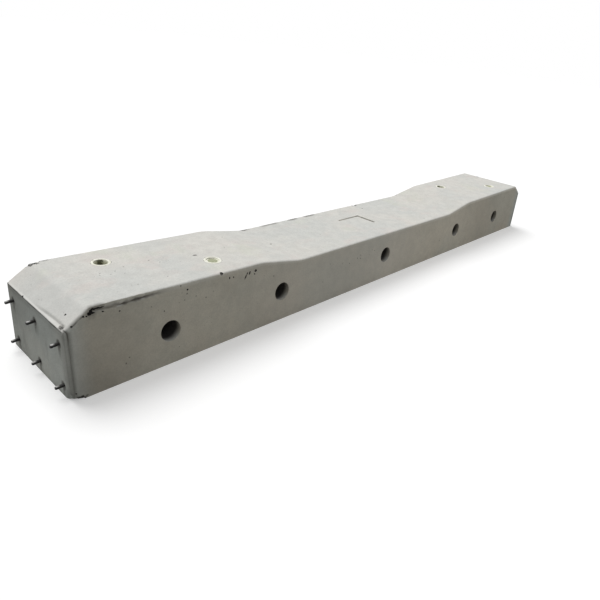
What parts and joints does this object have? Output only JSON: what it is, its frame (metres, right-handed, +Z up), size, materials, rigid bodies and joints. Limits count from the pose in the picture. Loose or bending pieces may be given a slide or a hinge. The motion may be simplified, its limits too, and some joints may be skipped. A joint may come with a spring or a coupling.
{
  "type": "prestressed concrete railway sleeper",
  "caption": "Long concrete sleeper with raised, inward-leaning rail seats, cast-in plastic screw dowels, holes through its sides and steel wire ends.",
  "frame": {"origin": "middle of the underside", "axes": "+X along the sleeper, +Y across it, +Z up from the underside to the rail seats"},
  "size_m": [2.134, 0.276, 0.1917],
  "materials": {
    "concrete": "mould-smooth, matt",
    "dowel_plastic": "matt, cream",
    "cap_plastic": "matt, pale green",
    "wire_steel": "dark, slightly rusted"
  },
  "bodies": {
    "root": {"concrete_body": "concrete", "dowel_left_inner": "dowel_plastic", "dowel_left_outer": "dowel_plastic", "dowel_right_inner": "dowel_plastic", "dowel_right_outer": "dowel_plastic", "dust_cap_left": "cap_plastic", "dust_cap_right": "cap_plastic", "wire_lower_front": "wire_steel", "wire_lower_middle": "wire_steel", "wire_lower_back": "wire_steel", "wire_upper_front": "wire_steel", "wire_upper_middle": "wire_steel", "wire_upper_back": "wire_steel"}
  },
  "joints": []
}
